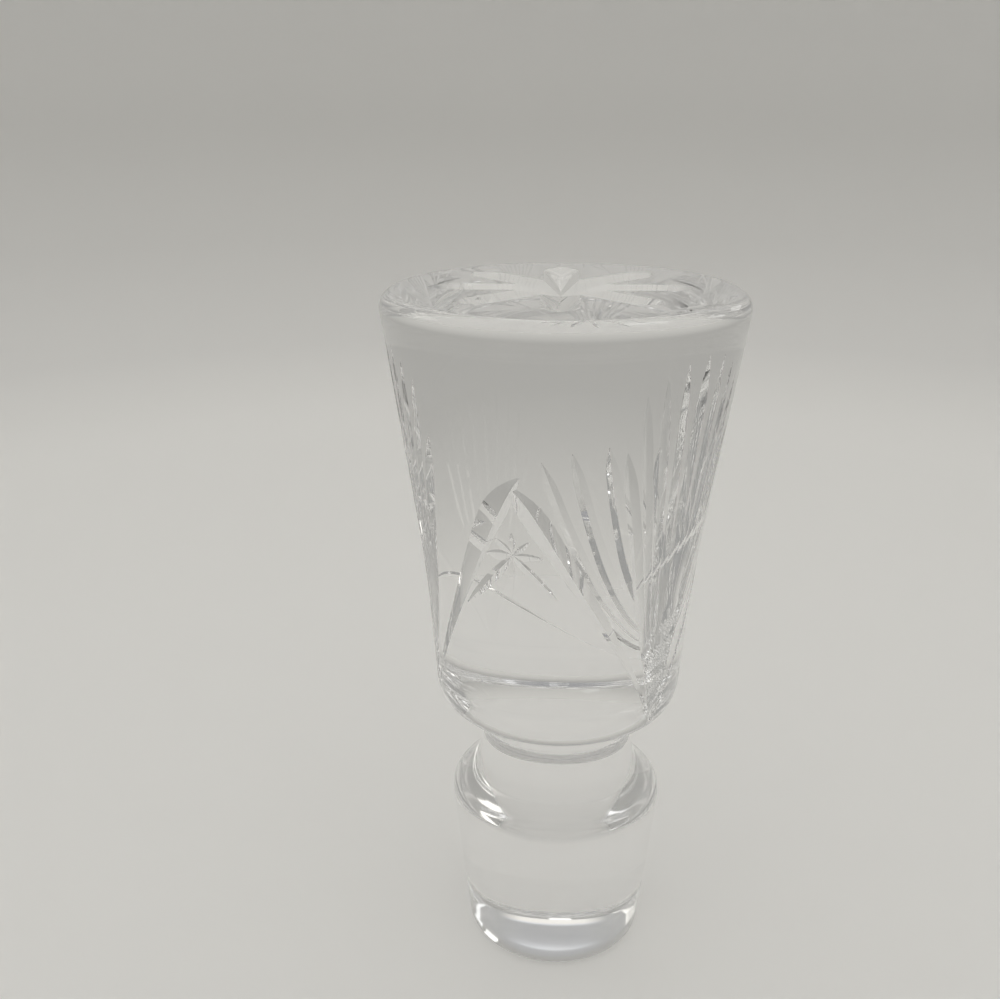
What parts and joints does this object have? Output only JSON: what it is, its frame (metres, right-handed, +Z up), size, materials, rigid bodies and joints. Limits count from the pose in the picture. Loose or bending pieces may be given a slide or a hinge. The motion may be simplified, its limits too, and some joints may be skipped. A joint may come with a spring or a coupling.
{
  "type": "cut-glass bottle stopper",
  "caption": "Solid glass stopper with a flared head cut with fans and stars, a hollowed waist and a ground taper plug that closes a decanter or bottle neck.",
  "frame": {"origin": "middle of the plug's flat foot", "axes": "+Z up along the stopper's axis, from the plug to the head; -Y is the front, which one arch of the cut pattern nearly faces; +X is to the right seen from the front"},
  "size_m": [0.043, 0.043, 0.0895],
  "materials": {
    "glass": "clear lead glass, polished all over, with sharp mitre cuts and a faintly duller ground plug"
  },
  "bodies": {
    "root": {"stopper": "glass"}
  },
  "joints": []
}
